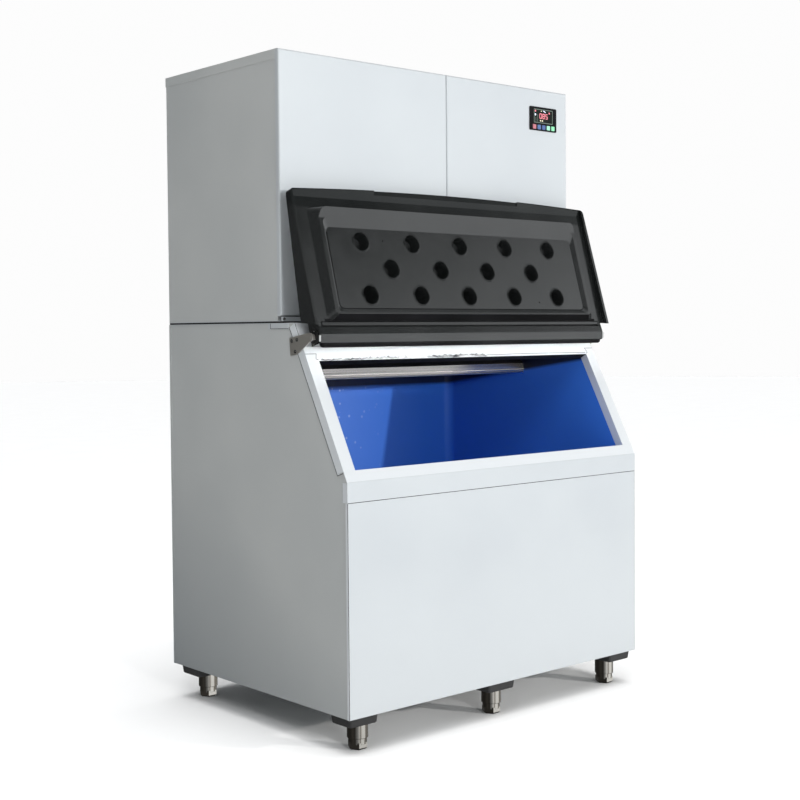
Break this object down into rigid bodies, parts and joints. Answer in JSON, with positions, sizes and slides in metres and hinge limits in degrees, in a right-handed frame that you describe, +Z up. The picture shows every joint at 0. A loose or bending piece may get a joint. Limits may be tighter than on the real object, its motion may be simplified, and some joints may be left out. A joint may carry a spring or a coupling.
{
  "type": "cube ice machine",
  "caption": "Floor-standing cube ice machine: freezing head on an insulated sloped-front ice bin with a hinged moulded lid, shown open, on adjustable feet.",
  "frame": {"origin": "on the floor under the middle of the footprint", "axes": "+X to the machine's right as seen from its front, +Y to its back, +Z up"},
  "size_m": [1.242, 0.896, 1.973],
  "materials": {
    "side_steel": "soft brushed stainless sheet",
    "front_steel": "pale satin sheet",
    "liner_blue": "moulded blue, smooth",
    "foam": "rigid foam",
    "baffle_steel": "bright stainless sheet",
    "lid_black": "moulded black with a low sheen",
    "hinge_black": "black coated",
    "bracket_steel": "stainless plate",
    "screw_steel": "polished",
    "leg_plate_grey": "dark grey moulded",
    "leg_nickel": "dull nickel",
    "drain_plastic": "white moulded",
    "gasket_rubber": "soft black",
    "bezel_black": "gloss black",
    "screen_panel": "dark screen",
    "key_red": "red key",
    "key_blue": "blue key",
    "key_navy": "blue key",
    "key_mint": "light green key",
    "key_green": "green key",
    "compressor_black": "gloss black paint",
    "coil_aluminium": "thin fins",
    "nickel_plate": "nickel plated",
    "shroud_steel": "zinc grey",
    "fan_grey": "pressed blades",
    "line_copper": "drawn copper",
    "valve_brass": "machined",
    "board_green": "circuit board"
  },
  "bodies": {
    "root": {"bin_back_panel": "side_steel", "bin_bottom_panel": "side_steel", "bin_drain": "drain_plastic", "bin_front_panel": "front_steel", "bin_front_sill": "front_steel", "bin_insulation": "foam", "bin_liner": "liner_blue", "bin_side_left": "side_steel", "bin_side_right": "side_steel", "bin_top_frame": "front_steel", "compressor": "compressor_black", "compressor_mounts": "gasket_rubber", "condenser_coil": "coil_aluminium", "control_board": "board_green", "control_box": "shroud_steel", "display_bezel": "bezel_black", "display_screen": "screen_panel", "evaporator": "nickel_plate", "fan_motor": "compressor_black", "fan_shroud": "shroud_steel", "filter_drier": "compressor_black", "freeze_bulkhead": "drain_plastic", "freeze_wall": "foam", "head_back_panel": "side_steel", "head_base_pan": "front_steel", "head_front_left": "front_steel", "head_front_right": "front_steel", "head_gasket": "gasket_rubber", "head_side_left": "side_steel", "head_side_right": "side_steel", "head_top_cover": "side_steel", "hinge_bracket_left": "bracket_steel", "hinge_bracket_right": "bracket_steel", "hinge_screws": "screw_steel", "ice_deflector": "baffle_steel", "inlet_valve": "valve_brass", "leg_plates": "leg_plate_grey", "leg_tubes": "leg_nickel", "refrigerant_lines": "line_copper", "slope_rail_left": "front_steel", "slope_rail_right": "front_steel", "slope_top_rail": "front_steel", "water_distributor": "drain_plastic", "water_pump": "compressor_black", "water_sump": "drain_plastic"},
    "lid": {"lid": "lid_black", "lid_hinge_plates": "hinge_black"},
    "curtain": {"water_curtain": "drain_plastic"},
    "fan": {"fan_blades": "fan_grey"},
    "key_red": {"key_red": "key_red"},
    "key_blue": {"key_blue": "key_blue"},
    "key_navy": {"key_navy": "key_navy"},
    "key_mint": {"key_mint": "key_mint"},
    "key_green": {"key_green": "key_green"},
    "foot_front_left": {"foot_front_left": "leg_nickel"},
    "foot_front_middle": {"foot_front_middle": "leg_nickel"},
    "foot_front_right": {"foot_front_right": "leg_nickel"},
    "foot_rear_left": {"foot_rear_left": "leg_nickel"},
    "foot_rear_middle": {"foot_rear_middle": "leg_nickel"},
    "foot_rear_right": {"foot_rear_right": "leg_nickel"}
  },
  "joints": [
    {"name": "lid_hinge", "type": "hinge", "parent": "root", "child": "lid", "pos_m": [0, -0.29283, 1.15084], "axis": [1, 0, 0], "range_deg": [0, 168.7]},
    {"name": "curtain_swing", "type": "hinge", "parent": "root", "child": "curtain", "pos_m": [-0.288, 0.263, 1.848], "axis": [-1, 0, 0], "range_deg": [0, 30]},
    {"name": "fan_spin", "type": "hinge", "parent": "root", "child": "fan", "pos_m": [0.415, 0.3705, 1.379], "axis": [0, 1, 0], "continuous": true},
    {"name": "key_red_press", "type": "slide", "parent": "root", "child": "key_red", "axis": [0, 1, 0], "range_m": [0, 0.001], "stiffness_N_per_m": 1000},
    {"name": "key_blue_press", "type": "slide", "parent": "root", "child": "key_blue", "axis": [0, 1, 0], "range_m": [0, 0.001], "stiffness_N_per_m": 1000},
    {"name": "key_navy_press", "type": "slide", "parent": "root", "child": "key_navy", "axis": [0, 1, 0], "range_m": [0, 0.001], "stiffness_N_per_m": 1000},
    {"name": "key_mint_press", "type": "slide", "parent": "root", "child": "key_mint", "axis": [0, 1, 0], "range_m": [0, 0.001], "stiffness_N_per_m": 1000},
    {"name": "key_green_press", "type": "slide", "parent": "root", "child": "key_green", "axis": [0, 1, 0], "range_m": [0, 0.001], "stiffness_N_per_m": 1000},
    {"name": "foot_front_left_level", "type": "slide", "parent": "root", "child": "foot_front_left", "axis": [0, 0, -1], "range_m": [-0.01, 0.015]},
    {"name": "foot_front_middle_level", "type": "slide", "parent": "root", "child": "foot_front_middle", "axis": [0, 0, -1], "range_m": [-0.01, 0.015]},
    {"name": "foot_front_right_level", "type": "slide", "parent": "root", "child": "foot_front_right", "axis": [0, 0, -1], "range_m": [-0.01, 0.015]},
    {"name": "foot_rear_left_level", "type": "slide", "parent": "root", "child": "foot_rear_left", "axis": [0, 0, -1], "range_m": [-0.01, 0.015]},
    {"name": "foot_rear_middle_level", "type": "slide", "parent": "root", "child": "foot_rear_middle", "axis": [0, 0, -1], "range_m": [-0.01, 0.015]},
    {"name": "foot_rear_right_level", "type": "slide", "parent": "root", "child": "foot_rear_right", "axis": [0, 0, -1], "range_m": [-0.01, 0.015]}
  ]
}
